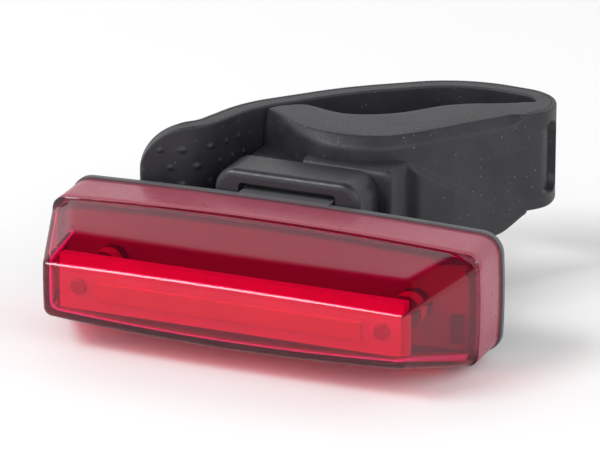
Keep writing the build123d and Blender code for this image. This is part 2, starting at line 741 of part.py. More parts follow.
def under_cut():
    """The wedge that is missing under the wing, so that it narrows to the band's height at the bend."""
    low = -PAD_BOTTOM
    band_low = PAD_TOP - BAND_TALL
    start, end = (12.0, 14.0), (31.0, 38.0)
    length = math.dist(start, end)
    along = Vector(end[0] - start[0], end[1] - start[1], 0).normalized()
    frame = Plane(origin=(start[0], start[1], 0), x_dir=along, z_dir=Vector(along.Y, -along.X, 0))
    with BuildSketch(frame) as side:
        with BuildLine():
            Polyline(
                (0, low), (length - 6, low + 3.4), (length, band_low), (length + 20, band_low), (length + 20, low - 5),
                (0, low - 5), close=True,
            )
        make_face()
    return extrude(side.sketch, 40, both=True)


def strap_hook():
    """Hook moulded into the pad: foot, blade through the band's slot, and a lip towards the tab."""
    frame = slot_frame(band_path(), HOOKED_SLOT)
    blade_from = -SLOT_WIDE / 2 + HOOK_PLAY
    blade_to = blade_from + HOOK_THICK
    root = -BAND_THICK / 2 - BAND_GAP - HOOK_ROOT
    tip = BAND_THICK / 2 + HOOK_PROUD
    half = HOOK_TALL / 2
    hook = between((blade_from, -half, root), (blade_to, half, tip))
    hook += between((blade_to, -half, tip - HOOK_LIP_THICK), (blade_to + HOOK_LIP, half, tip))
    hook += between((blade_from - 0.6, -half - 1, root - 1.4), (blade_from - 0.6 + HOOK_FOOT, half + 1, root))
    return frame * hook


def build():
    """Every piece by its name."""
    return {
        "lens": lens(),
        "rear_cover": rear_cover(),
        "inner_housing": inner_housing(),
        "cover_seal": cover_seal(),
        "cover_screws": cover_screws(),
        "board_carrier": board_carrier(),
        "led_board": led_board(),
        "led_strip": led_strip(),
        "led_chips": led_chips(),
        "board_screws": board_screws(),
        "main_board": main_board(),
        "lamp_leads": lamp_leads(),
        "battery": battery(),
        "battery_pad": battery_pad(),
        "battery_leads": battery_leads(),
        "switch_body": switch_body(),
        "switch_plunger": switch_plunger(),
        "button_cap": button_cap(),
        "charge_lens": charge_lens(),
        "usb_socket": usb_socket(),
        "usb_flap": usb_flap(),
        "bracket_cage": bracket_cage(),
        "mount_screws": mount_screws(),
        "mount_plate": mount_plate(),
        "strap_pad": strap_pad(),
        "strap_band": strap_band(bend_strip(BEND_GAP)),
        "strap_hook": strap_hook(),
    }


def main():
    os.makedirs("parts", exist_ok=True)
    pieces = build()
    whole = Compound([piece for piece in pieces.values()]).bounding_box()
    shift = Pos(-(whole.min.X + whole.max.X) / 2, -(whole.min.Y + whole.max.Y) / 2, -whole.min.Z)
    for name, piece in pieces.items():
        export_step(shift * piece, os.path.join("parts", name + ".step"))
    print("moved by", shift.position)


main()
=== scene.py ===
"""Looks of a bike rear light: a red faceted lens on a slide-on bracket with a rubber saddle and strap.

Lengths in the functions below are millimetres about the middle of the lamp's rear edge, as in the
part's source; MOVE brings them into the frame, which is in metres.
"""
import math

import bpy
import numpy as np
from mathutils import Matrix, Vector


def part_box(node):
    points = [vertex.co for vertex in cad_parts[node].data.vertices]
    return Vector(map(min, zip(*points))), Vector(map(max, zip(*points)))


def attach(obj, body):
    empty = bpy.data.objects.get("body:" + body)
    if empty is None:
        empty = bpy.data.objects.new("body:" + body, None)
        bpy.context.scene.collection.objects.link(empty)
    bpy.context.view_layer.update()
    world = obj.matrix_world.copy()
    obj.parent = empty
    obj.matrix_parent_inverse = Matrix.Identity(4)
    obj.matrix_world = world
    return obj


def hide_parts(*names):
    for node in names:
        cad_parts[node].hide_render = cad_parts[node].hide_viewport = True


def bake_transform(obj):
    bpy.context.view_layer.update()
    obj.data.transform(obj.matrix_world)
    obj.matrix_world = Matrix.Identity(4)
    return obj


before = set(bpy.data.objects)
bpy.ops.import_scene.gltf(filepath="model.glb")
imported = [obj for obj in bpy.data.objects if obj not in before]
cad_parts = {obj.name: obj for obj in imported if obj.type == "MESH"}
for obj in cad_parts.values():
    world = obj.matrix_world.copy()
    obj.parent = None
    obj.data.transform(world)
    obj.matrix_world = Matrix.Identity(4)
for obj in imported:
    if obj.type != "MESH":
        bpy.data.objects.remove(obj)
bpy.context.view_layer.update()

# The frame's origin is under the middle of the whole light, so the move comes from two of its nodes
# COVER_LOWEST is how far the rear cover reaches below the lamp's middle
COVER_LOWEST = 10.7
MOVE = np.array([0.0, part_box("lens")[1].y * 1000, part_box("rear_cover")[0].z * 1000 + COVER_LOWEST])


def place(points):
    """Points about the lamp's rear edge, in mm, as points of the frame, in metres."""
    return (np.asarray(points, float) + MOVE) / 1000


def mesh_object(name, points, faces, body, material):
    """A smooth mesh from points in mm and faces; it rides on a body and wears a material."""
    mesh = bpy.data.meshes.new(name)
    mesh.from_pydata(place(points).tolist(), [], [list(f) for f in faces])
    mesh.validate()
    obj = bpy.data.objects.new(name, mesh)
    bpy.context.scene.collection.objects.link(obj)
    mesh.materials.append(material)
    mesh.polygons.foreach_set("use_smooth", [True] * len(mesh.polygons))
    mesh.update()
    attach(obj, body)
    return obj


def grid_faces(rows, columns, start=0, flip=False):
    """Quads between the rows of a grid, its points numbered row by row; the last column joins the first."""
    i, j = np.meshgrid(np.arange(rows - 1), np.arange(columns), indexing="ij")
    a = start + i * columns + j
    b = start + i * columns + (j + 1) % columns
    quads = np.stack([a, b, b + columns, a + columns], -1).reshape(-1, 4)
    return quads[:, ::-1] if flip else quads


# Materials

# The tub's bands lie between these places along the frame's Y, in metres, at these shares of the way. The
# near-black band is painted shade standing for a step that the tub's shape does not have, and the pale pink
# bands on each side of it are painted highlights on that step's edges; the rest is the tub's own grey
TUB_BAND = ((-19.0 + MOVE[1]) / 1000, (-6.0 + MOVE[1]) / 1000)
TUB_STOPS_WITH_PAINTED_STEP = [
    (0.0, "363638"), (0.48, "404042"), (0.53, "c8a8a8"), (0.67, "c8a8a8"),
    (0.71, "141416"), (0.83, "141416"), (0.87, "a08080"), (1.0, "806868"),
]
LENS_TINT = (0.88, 0.012, 0.16)
# The wall's pale pink is partly the red of the plastic and partly a painted reflection of the white light
# from above
WALL_TINT_WITH_PAINTED_REFLECTION = (0.49, 0.105, 0.16)
LENS_SHADOW = (0.62, 0.3, 0.32)


class Recipe:
    """Short names for building one material's nodes."""

    def __init__(self, name):
        self.material = bpy.data.materials.new(name)
        self.material.use_nodes = True
        self.tree = self.material.node_tree
        self.shader = self.tree.nodes["Principled BSDF"]
        self.output = self.tree.nodes["Material Output"]
        self.coordinates = self.tree.nodes.new("ShaderNodeTexCoord").outputs["Object"]

    def node(self, kind, **inputs):
        n = self.tree.nodes.new(kind)
        for key, value in inputs.items():
            self.feed(n, key.replace("_", " "), value)
        return n

    def feed(self, n, key, value):
        socket = n.inputs[key]
        if isinstance(value, bpy.types.NodeSocket):
            self.tree.links.new(value, socket)
        else:
            socket.default_value = value

    def set(self, **inputs):
        for key, value in inputs.items():
            self.feed(self.shader, key.replace("_", " "), value)

    def noise(self, scale, detail):
        n = self.node("ShaderNodeTexNoise", Vector=self.coordinates, Scale=scale, Detail=detail)
        n.inputs["Roughness"].default_value = 0.55
        return n.outputs["Fac"]

    def mixed(self, factor, low, high):
        """One colour passing into another as the factor goes from 0 to 1; either may come from a socket."""
        mix = self.tree.nodes.new("ShaderNodeMix")
        mix.data_type = "RGBA"
        self.tree.links.new(factor, mix.inputs["Factor"])
        colours = [socket for socket in mix.inputs if socket.type == "RGBA"]
        for socket, colour in zip(colours, (low, high)):
            if isinstance(colour, bpy.types.NodeSocket):
                self.tree.links.new(colour, socket)
            else:
                socket.default_value = (*colour, 1)
        return next(o for o in mix.outputs if o.type == "RGBA")

    def level(self, factor, low, high, a=0.3, b=0.7):
        """A level that goes from low to high as the factor goes from a to b."""
        n = self.node("ShaderNodeMapRange", Value=factor)
        for key, value in (("From Min", a), ("From Max", b), ("To Min", low), ("To Max", high)):
            n.inputs[key].default_value = value
        return n.outputs["Result"]

    def bump(self, height, strength):
        n = self.node("ShaderNodeBump", Height=height, Strength=strength, Distance=0.0001)
        self.tree.links.new(n.outputs["Normal"], self.shader.inputs["Normal"])


def srgb(code):
    """A colour written as six hex digits, as linear values."""
    values = [int(code[i : i + 2], 16) / 255 for i in (0, 2, 4)]
    return tuple(v / 12.92 if v <= 0.04045 else ((v + 0.055) / 1.055) ** 2.4 for v in values)


def moulded(name, dark, light, roughness, grain, relief, specks=False):
    """Moulded plastic or rubber: slight mottle, a fine grain in bump and gloss, and dust with specks."""
    r = Recipe(name)
    colour = r.mixed(r.level(r.noise(160, 3), 0.0, 1.0), srgb(dark), srgb(light))
    fine = r.noise(grain, 2)
    if specks:
        dust = r.node("ShaderNodeTexVoronoi", Vector=r.coordinates, Scale=620.0)
        colour = r.mixed(r.level(dust.outputs["Distance"], 0.5, 0.0, 0.05, 0.12), colour, srgb("7a7a80"))
    r.set(Base_Color=colour, Roughness=r.level(fine, *roughness), IOR=1.48)
    r.bump(fine, relief)
    return r.material


def metal(name, colour, roughness):
    """Bare metal in one colour, its gloss varied by a fine noise."""
    r = Recipe(name)
    gloss = r.level(r.noise(900, 3), roughness - 0.08, roughness + 0.08)
    r.set(Base_Color=(*colour, 1), Metallic=1.0, Roughness=gloss)
    return r.material


def red_lens(name, tint, clearness, roughness):
    """Red moulding. Light from the lamps passes straight through it, tinted, so that the inside is lit."""
    r = Recipe(name)
    haze = r.noise(420, 3)
    r.set(
        Base_Color=(*tint, 1), Transmission_Weight=clearness, IOR=1.49,
        Roughness=r.level(haze, roughness * 0.8, roughness * 1.2),
    )
    clear = r.node("ShaderNodeBsdfTransparent", Color=(*LENS_SHADOW, 1))
    path = r.node("ShaderNodeLightPath")
    mix = r.node("ShaderNodeMixShader")
    r.tree.links.new(path.outputs["Is Shadow Ray"], mix.inputs[0])
    r.tree.links.new(r.shader.outputs[0], mix.inputs[1])
    r.tree.links.new(clear.outputs[0], mix.inputs[2])
    r.tree.links.new(mix.outputs[0], r.output.inputs["Surface"])
    return r.material


def tub_with_painted_step():
    """Grey tub, coloured by Y: dark, with a band of painted shade for a step between two paler bands of
    painted highlight for its edges, as in the photograph.
    """
    r = Recipe("tub_plastic_painted_step")
    split = r.node("ShaderNodeSeparateXYZ", Vector=r.coordinates)
    mottle = r.noise(260, 3)
    bands = r.node("ShaderNodeValToRGB", Fac=r.level(split.outputs["Y"], 0.0, 1.0, *TUB_BAND))
    ramp = bands.color_ramp
    ramp.interpolation = "EASE"
    for position, code in TUB_STOPS_WITH_PAINTED_STEP[1:-1]:
        ramp.elements.new(position).color = (*srgb(code), 1)
    ramp.elements[0].color = (*srgb(TUB_STOPS_WITH_PAINTED_STEP[0][1]), 1)
    ramp.elements[len(TUB_STOPS_WITH_PAINTED_STEP) - 1].color = (*srgb(TUB_STOPS_WITH_PAINTED_STEP[-1][1]), 1)
    r.set(Base_Color=bands.outputs["Color"], Roughness=r.level(mottle, 0.4, 0.5))
    r.bump(mottle, 0.05)
    return r.material


RED = red_lens("clear_red_plastic", LENS_TINT, 0.97, 0.02)
# The rim wall wears a mostly diffuse pale pink: red plastic with a painted reflection of the white
# surroundings in its colour
FROSTED_WITH_PAINTED_REFLECTION = red_lens("frosted_red_plastic_painted_reflection", WALL_TINT_WITH_PAINTED_REFLECTION, 0.35, 0.32)
RUBBER = moulded("silicone_rubber", "202024", "2e2f35", (0.42, 0.6), 2600, 0.2, specks=True)
BRACKET = moulded("satin_black_plastic", "26262a", "2e2e33", (0.3, 0.42), 1800, 0.08)
HOUSING = moulded("housing_plastic", "5c5c60", "66666a", (0.45, 0.55), 1500, 0.06)
TUB = tub_with_painted_step()
WHITE = moulded("white_plastic", "e6e4e0", "f0eeea", (0.4, 0.5), 900, 0.03)
BOARD = moulded("white_solder_mask", "e8e6e2", "f4f2ee", (0.35, 0.45), 700, 0.03)
PHOSPHOR = moulded("lamp_gel", "e8b8a8", "f0c8b8", (0.3, 0.4), 1600, 0.04)
CHIP = moulded("lamp_die", "b07868", "c08878", (0.25, 0.3), 3000, 0.02)
GREEN = moulded("board_mask", "1c4a2c", "245634", (0.35, 0.45), 900, 0.04)
STEEL = metal("plain_steel", (0.55, 0.55, 0.56), 0.35)
CELL = metal("cell_foil", (0.6, 0.6, 0.62), 0.4)
FOAM = moulded("foam", "2c2c2e", "38383a", (0.9, 0.95), 2600, 0.3)
LEAD = moulded("lead_insulation", "8c1c1c", "981f1f", (0.4, 0.5), 800, 0.02)
SEAL = moulded("soft_seal", "1c1c1e", "242426", (0.6, 0.7), 2000, 0.05)
PIPE = moulded("light_pipe", "d8d8d8", "e2e2e2", (0.2, 0.3), 1000, 0.02)

wears = {
    "rear_cover": HOUSING, "inner_housing": TUB, "cover_seal": SEAL, "cover_screws": STEEL,
    "board_carrier": WHITE, "led_board": BOARD, "led_strip": PHOSPHOR, "led_chips": CHIP,
    "board_screws": STEEL, "main_board": GREEN,
    "lamp_leads": LEAD, "battery": CELL, "battery_pad": FOAM, "battery_leads": LEAD, "switch_body": HOUSING,
    "switch_plunger": HOUSING, "button_cap": RUBBER, "charge_lens": PIPE, "usb_socket": STEEL,
    "usb_flap": RUBBER, "bracket_cage": BRACKET, "mount_screws": STEEL, "mount_plate": STEEL,
    "strap_pad": RUBBER, "strap_band": RUBBER,
    "strap_hook": BRACKET, "lens": RED,
}
for node_name, material in wears.items():
    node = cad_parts[node_name]
    node.data.materials.clear()
    node.data.materials.append(material)


# Lens. The wall runs to WALL_DEPTH, the sloping shelf to SHELF_DEPTH and the steeper brow to LENS_DEPTH

WALL_DEPTH, SHELF_DEPTH, LENS_DEPTH, LENS_WALL = 8.6, 19.1, 25.0, 1.2
RIM_HALF, RIM_TOP, RIM_BOTTOM = 38.0, 11.0, 10.4
WALL_DRAFT = 0.2
NOSE_END_DRAFT, NOSE_LOW_DRAFT = 6.3, 4.35
END_BOW, BOTTOM_BOW, RIM_CROWN, FRONT_CROWN = 0.4, 1.2, 0.7, 1.2
END_BOW_MIDDLE, END_BOW_REACH = 0.6, 9
CROWN_REACH, SPINE_HALF = 37.6, 27.5
SHELF_HEIGHT, SHELF_SLOPE = 8.0, 2.8 / 10.5
BROW_HEIGHT, BROW_BOW, BROW_REACH, BROW_SLOPE = 4.3, 0.3, 31, 3.7 / 5.9
# Cosines that turn a height above a sloping facet into a distance from it
SHELF_COSINE, BROW_COSINE, END_COSINE, LOW_COSINE = 0.966, 0.847, 0.935, 0.967
RIDGE_END = np.array([29.1, -19.1, 8.0])
HIP_FRONT, HIP_BACK = np.array([31.5, -25.0, 4.0]), np.array([37.6, -8.6, 7.6])
CORNER_ROUND, CORNER_WALL_LOSS, CORNER_NOSE_LOSS = 3.0, 1.0, 0.6
RIDGE_ROUND, HIP_ROUND, FRONT_ROUND = 0.35, 0.3, 0.95


def soft_max(a, b, width):
    """The larger of two fields, rounded by a parabola added where they lie within width of each other."""
    near = np.maximum(width - np.abs(a - b), 0) / width
    return np.maximum(a, b) + near * near * width / 4


def lens_field(x, y, z, inset, nose):
    """Distance outside the lens's surface: the rounded largest of the distances to its walls and facets.

    The walls are bowed planes, height minus half-height, and in front of the wall the shelf, the brow
    and the two hip planes cut the top. The inset moves every one of them inwards.
    """
    depth = -y
    across = np.abs(x)
    t = np.clip(depth / WALL_DEPTH, 0, 1)
    n = np.clip((depth - WALL_DEPTH) / (LENS_DEPTH - WALL_DEPTH), 0, 1)
    end_cosine = np.where(n > 0, END_COSINE, 1)
    low_cosine = np.where(n > 0, LOW_COSINE, 1)
    half = RIM_HALF - WALL_DRAFT * t - NOSE_END_DRAFT * n
    end = (across + END_BOW * ((z - END_BOW_MIDDLE) / END_BOW_REACH) ** 2 - half) * end_cosine + inset
    crown = (RIM_CROWN + (FRONT_CROWN - RIM_CROWN) * t) * (across / CROWN_REACH) ** 2
    top = z + crown - (RIM_TOP - WALL_DRAFT * t) + inset
    low_half = RIM_BOTTOM - WALL_DRAFT * t - NOSE_LOW_DRAFT * n
    low_bow = BOTTOM_BOW * (across / (CROWN_REACH - NOSE_END_DRAFT * n)) ** 2
    low = (-z + low_bow - low_half) * low_cosine + inset
    corner = CORNER_ROUND - CORNER_WALL_LOSS * t - CORNER_NOSE_LOSS * n
    field = soft_max(soft_max(end, top, corner * 1.1), low, corner)
    if nose:
        share_left = np.clip((SHELF_DEPTH - depth) / (SHELF_DEPTH - WALL_DEPTH), 0, 1)
        crown_left = FRONT_CROWN * (across / CROWN_REACH) ** 2 * share_left
        shelf = (z - SHELF_HEIGHT - (SHELF_DEPTH - depth) * SHELF_SLOPE + crown_left) * SHELF_COSINE + inset
        rise = (LENS_DEPTH - depth) * BROW_SLOPE
        brow = (z - BROW_HEIGHT + BROW_BOW * (across / BROW_REACH) ** 2 - rise) * BROW_COSINE + inset
        normal = np.cross(HIP_FRONT - RIDGE_END, HIP_BACK - RIDGE_END)
        normal = normal / np.linalg.norm(normal) * (1 if normal[2] > 0 else -1)
        hip = (across - RIDGE_END[0]) * normal[0] + (y - RIDGE_END[1]) * normal[1]
        hip = hip + (z - RIDGE_END[2]) * normal[2] + inset
        field = soft_max(field, shelf, RIDGE_ROUND)
        field = soft_max(field, soft_max(brow, hip, HIP_ROUND), RIDGE_ROUND)
        field = soft_max(field, depth - LENS_DEPTH + inset, FRONT_ROUND)
    return field


def solve(function, low, high, steps=40):
    """The root of a rising field between two arrays, by halving."""
    for _ in range(steps):
        middle = (low + high) / 2
        inside = function(middle) < 0
        low = np.where(inside, middle, low)
        high = np.where(inside, high, middle)
    return (low + high) / 2


def around(count):
    """Points evenly spaced round a rectangle as long and about as tall as the lamp, one for each ray."""
    half_x, half_z = RIM_HALF, 10.0
    s = np.linspace(0, 1, count, endpoint=False) * 4 * (half_x + half_z)
    lengths = [0, half_z, 2 * half_x, 2 * half_z, 2 * half_x, half_z]
    corners = np.cumsum(lengths)
    x = np.interp(s, corners, [half_x, half_x, -half_x, -half_x, half_x, half_x])
    z = np.interp(s, corners, [0, half_z, half_z, -half_z, -half_z, 0])
    return x, z


def lens_side(depths, inset, count):
    """Rows of points at given depths: rays go out from a spine in the lamp to where the field is nought."""
    x0, z0 = around(count)
    spine = np.clip(x0, -SPINE_HALF, SPINE_HALF)
    dx, dz = x0 - spine, z0
    length = np.hypot(dx, dz)
    dx, dz = dx / length, dz / length
    rows = []
    for depth, nose in depths:
        reach = solve(
            lambda r: lens_field(spine + dx * r, -depth, dz * r, inset, nose),
            np.zeros(count), np.full(count, 40.0),
        )
        rows.append(np.stack([spine + dx * reach, np.full(count, -depth), dz * reach], -1))
    return rows


def lens_front(last, inset, shares):
    """Rows of points on the front: the last outline drawn in to the middle, each point's depth solved."""
    rows = []
    for share in shares:
        x, z = last[:, 0] * share, last[:, 2] * share
        nearest, farthest = np.full(len(x), 5.0), np.full(len(x), 30.0)
        depth = solve(lambda d: lens_field(x, -d, z, inset, True), nearest, farthest)
        rows.append(np.stack([x, -depth, z], -1))
    return rows


WALL_ROWS = 7
FRONT_SHARES = [0.997, 0.993, 0.988, 0.982, 0.975, 0.96, 0.93, 0.85, 0.7, 0.5, 0.25]


def lens_shell(inset, count):
    """Wall rows without the nose's facets, nose rows with them, closer at the ridge, then front rows."""
    corner = WALL_DEPTH + inset * 0.12
    near_ridge = SHELF_DEPTH - inset * 0.45
    deep = LENS_DEPTH - inset
    nose = np.concatenate([
        np.linspace(corner + 0.001, near_ridge - 0.8, 12),
        np.linspace(near_ridge - 0.7, near_ridge + 0.7, 13),
        np.linspace(near_ridge + 0.8, deep - 1.1, 8),
        deep - np.linspace(1, 0.05, 16) ** 1.4,
    ])
    depths = [(d, False) for d in np.linspace(0, corner, WALL_ROWS)] + [(d, True) for d in nose]
    rows = lens_side(depths, inset, count)
    rows += lens_front(rows[-1], inset, FRONT_SHARES)
    return np.concatenate(rows), len(rows), deep


def build_lens():
    """The lens as a closed shell: outer and inner surfaces, the rim between them, a pole on each front."""
    count = 560
    outer, outer_rows, outer_front = lens_shell(0.0, count)
    inner, inner_rows, inner_front = lens_shell(LENS_WALL, count)
    points = np.concatenate([outer, inner, [[0, -outer_front, 0]], [[0, -inner_front, 0]]])
    a, b = len(outer), len(outer) + len(inner)
    ring = np.arange(count)
    following = (ring + 1) % count
    rim = np.stack([ring, a + ring, a + following, following], -1)
    grids = [grid_faces(outer_rows, count), grid_faces(inner_rows, count, a, flip=True), rim]
    faces = [list(f) for f in np.concatenate(grids)]
    last_outer = (outer_rows - 1) * count
    last_inner = a + (inner_rows - 1) * count
    faces += [[last_outer + i, last_outer + j, b] for i, j in zip(ring, following)]
    faces += [[last_inner + j, last_inner + i, b + 1] for i, j in zip(ring, following)]
    obj = mesh_object("lens_moulding", points, faces, "lamp", RED)
    obj.data.materials.append(FROSTED_WITH_PAINTED_REFLECTION)
    on_wall = np.arange(len(faces)) < (WALL_ROWS - 1) * count
    obj.data.polygons.foreach_set("material_index", on_wall.astype(np.int32))
    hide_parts("lens")


# Tools for the rubber pieces


def run(route):
    """Distance along a route at each of its points."""
    return np.concatenate([[0], np.cumsum(np.linalg.norm(np.diff(route, axis=0), axis=1))])


def along(route, distances):
    """Points of a route at given distances along it."""
    total = run(route)
    return np.stack([np.interp(distances, total, route[:, k]) for k in range(route.shape[1])], -1)


def rounded_route(points, radii):
    """A plan route: straight runs joined by arcs, centre + R (cos, sin), as points 0.1 mm apart."""
    points = [np.array(p, float) for p in points]
    route = [points[0][None]]
    for before, corner, after, radius in zip(points, points[1:], points[2:], radii):
        u = (before - corner) / np.linalg.norm(before - corner)
        v = (after - corner) / np.linalg.norm(after - corner)
        half = math.acos(u @ v) / 2
        centre = corner + (u + v) / np.linalg.norm(u + v) * radius / math.sin(half)
        spoke = corner + u * radius / math.tan(half) - centre
        spoke_end = corner + v * radius / math.tan(half) - centre
        first = math.atan2(spoke[1], spoke[0])
        sweep = (math.atan2(spoke_end[1], spoke_end[0]) - first + math.pi) % (2 * math.pi) - math.pi
        angles = first + sweep * np.linspace(0, 1, 40)
        route.append(centre + radius * np.stack([np.cos(angles), np.sin(angles)], -1))
    route.append(points[-1][None])
    route = np.concatenate(route)
    return along(route, np.arange(0, run(route)[-1], 0.1))


def ease(value, low, high):
    """0 below low and 1 above high, with 3t^2 - 2t^3 between them."""
    t = np.clip((value - low) / (high - low), 0, 1)
    return t * t * (3 - 2 * t)


def quarter_round(distance, radius, least):
    """Height of a quarter circle of radius 1 whose foot is at distance 0 and whose top is at the radius."""
    return np.sqrt(np.clip(1 - (1 - np.clip(distance / radius, 0, 1)) ** 2, least, 1))


def softened(values, reach):
    """A list of rows, each replaced by the mean of the rows within reach of it, twice; its ends stay."""
    for _ in range(2):
        padded = np.concatenate([
            2 * values[:1] - values[reach:0:-1], values, 2 * values[-1:] - values[-2:-reach - 2:-1]
        ])
        total = np.cumsum(np.concatenate([np.zeros_like(padded[:1]), padded]), axis=0)
        values = (total[2 * reach + 1:] - total[:-2 * reach - 1]) / (2 * reach + 1)
    return values


def section(*corners):
    """The corners of one section a row, rows x corners x 2, from arrays of (a, z)."""
    return np.stack([np.stack(np.broadcast_arrays(a, z), -1) for a, z in corners], 1)


def rounded_loops(corners, cuts, sides, arc):
    """Closed sections, one a row: every corner V becomes (1-q)^2 A + 2q(1-q) V + q^2 C, where A and C lie
    cut mm before and after it; sides says how many points follow on each straight side."""
    step_back = np.roll(corners, 1, axis=1) - corners
    step_on = np.roll(corners, -1, axis=1) - corners
    length_back = np.linalg.norm(step_back, axis=-1, keepdims=True)
    length_on = np.linalg.norm(step_on, axis=-1, keepdims=True)
    cut = np.asarray(cuts, float)[None, :, None]
    a = corners + step_back / length_back * np.minimum(cut, 0.48 * length_back)
    c = corners + step_on / length_on * np.minimum(cut, 0.48 * length_on)
    q = np.linspace(0, 1, arc)[None, :, None]
    parts = []
    for k, count in enumerate(sides):
        start, end = a[:, k, None], c[:, k, None]
        parts.append((1 - q) ** 2 * start + 2 * q * (1 - q) * corners[:, k, None] + q * q * end)
        t = (np.arange(1, count + 1) / (count + 1))[None, :, None]
        parts.append(end * (1 - t) + a[:, (k + 1) % len(sides), None] * t)
    return np.concatenate(parts, axis=1)


def closed_rings(name, points, body):
    """A closed rubber form through rings of points, rows x columns x 3, with a pole on each end ring."""
    rows, columns = points.shape[:2]
    last = (rows - 1) * columns
    quads = grid_faces(rows, columns)
    faces = [list(f) for f in quads]
    faces += [[(i + 1) % columns, i, rows * columns] for i in range(columns)]
    faces += [[last + i, last + (i + 1) % columns, rows * columns + 1] for i in range(columns)]
    points = np.concatenate([points.reshape(-1, 3), points[[0, -1]].mean(axis=1)])
    a, b, c, d = (points[quads[:, k]] - points.mean(axis=0) for k in range(4))
    if np.einsum("ij,ij->", a, np.cross(b, c) + np.cross(c, d)) < 0:
        faces = [f[::-1] for f in faces]
    obj = mesh_object(name, points, faces, body, RUBBER)
    obj.data.set_sharp_from_angle(angle=math.radians(50))
    return obj


def strip(name, outer, inner, loops, body, relief):
    """A closed bar between two plan curves, with flat end caps.

    Section point (a, z) of a row lies at inner + (outer - inner) a / width. relief moves points outwards
    along that way: it gets the distance along the outer curve, a / width and z, and returns mm.
    """
    width = np.linalg.norm(outer - inner, axis=1)[:, None]
    way = (outer - inner) / width
    a, z = loops[..., 0], loops[..., 1]
    a = a + relief(run(outer)[:, None], a / width, z)
    plan = inner[:, None] + way[:, None] * a[..., None]
    return closed_rings(name, np.concatenate([plan, z[..., None]], -1), body)


# Saddle, its boss and the strap

BAND_HALF, BAND_LOW, BAND_TOP, BAND_MIDDLE = 1.7, 2.3, 19.3, 10.8
BAND_HALF_TALL = 8.5
BEND_CENTRE, BEND_RADIUS = np.array([23.4, 39.85]), 6.5
FAR_ROUTE = [(12.5, 47.6), (-3.5, 35.5), (-15.6, 21.2), (-19.0, 8.0), (-27.8, 4.3)]
FAR_RADII = [20.0, 50.0, 20.0, 7.0]
HINGE = (26.0, 46.1)

# The one rubber moulding is split at the wing, where the saddle's skin ends and the strap's begins
SEAM_OUTER, SEAM_INNER = (29.2, 34.4), (25.3, 40.3)

# Places along the saddle in plan: outer x, outer y, inner x, inner y
SADDLE = [
    (-12.7, 21.0, -11.5, 22.2), (-11.6, 20.2, -9.7, 23.5), (-9.0, 18.2, -7.3, 25.5),
    (-6.0, 15.8, -5.0, 24.9), (-3.65, 13.9, -2.0, 23.8), (0.5, 11.8, 0.9, 23.3), (4.8, 11.06, 4.1, 24.1),
    (9.5, 11.85, 7.0, 25.7), (13.4, 13.9, 9.6, 27.8), (16.2, 16.8, 11.8, 30.6), (19.5, 21.3, 14.2, 33.9),
    (23.5, 26.7, 18.2, 36.8), (26.3, 30.5, 22.0, 38.4), (28.2, 33.15, 24.2, 39.65),
    (*SEAM_OUTER, *SEAM_INNER),
]

# The same for the strap, from inside the wing to where the bend's arc takes over
BAND_LEAD = [
    (28.3, 33.2, 24.2, 39.6), (*SEAM_OUTER, *SEAM_INNER), (30.7, 36.4, 26.3, 40.9),
    (31.4, 37.7, 27.0, 41.25), (31.6, 39.0, 27.5, 41.5),
]

BOSS_LEFT, BOSS_RIGHT, BOSS_FRONT, BOSS_LOW, BOSS_TOP, BOSS_STEP = -12.7, 15.3, 8.8, -4.0, 13.1, 2.5
BOSS_END_ROUND = 0.9

SLOT_HALF_WIDE, SLOT_HALF_TALL = 2.7, 6.25
RECESS_AT, RECESS_DEPTH = 6.9, 1.3
HOOKED_SLOT = 45.0
GRIP_FROM_TIP, GRIP_PITCH, GRIP_STAGGER = 4.6, 3.2, 1.6
GRIP_ROW_SHIFT, GRIP_ROW_PITCH, GRIP_RADIUS, GRIP_HEIGHT = 1.4, 3.0, 0.5, 0.3


def boss_swelling(distance, share, z):
    """Raises the wing's face below a falling line, where the boss runs out into it."""
    line = 12.9 - 0.62 * (distance - 35.5)
    inside = ease(distance, 31.5, 35.0) * (1 - ease(distance, 40, 54)) * ease(line - z, -0.4, 0.8)
    return 1.1 * inside * ease(share, 0.6, 0.95)


def build_pad():
    """The saddle: a bar between its outer face and its inner hollow, its outer top edge bevelled."""
    rows = 190
    pairs = np.array(SADDLE)
    pairs = softened(along(pairs, np.linspace(0, run(pairs)[-1], rows)), 5)
    outer, inner = pairs[:, :2], pairs[:, 2:]
    width = np.linalg.norm(outer - inner, axis=1)
    reached = run(outer)
    left = reached[-1] - reached + 3.5
    bottom = BAND_LOW - 3.2 * ease(left, 1.0, 9.0) - 3.8 * ease(left, 6.0, 26.0)
    inset = 0.6 + 1.1 * ease(outer[:, 0], -6, 4)
    down = 1.0 + 0.7 * ease(outer[:, 0], -6, 4) + 3.0 * (1 - ease(outer[:, 0], -12, -6))
    near_seam = ease(reached, reached[-1] - 3.5, reached[-1])
    inset, down = inset + (0.35 - inset) * near_seam, down + (0.35 - down) * near_seam
    corners = section(
        (0 * width, bottom), (width, bottom), (width, BAND_TOP - down), (width - inset, BAND_TOP),
        (0 * width, BAND_TOP),
    )
    height = 0.86 + 0.14 * quarter_round(reached, 1.3, 0.02)
    corners[..., 1] = BAND_MIDDLE + (corners[..., 1] - BAND_MIDDLE) * height[:, None]
    loops = rounded_loops(corners, [1.4, 1.8, 0.6, 0.35, 0.5], [5, 56, 2, 9, 22], 6)
    obj = strip("strap_pad_skin", outer, inner, loops, "mount", boss_swelling)
    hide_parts("strap_pad")


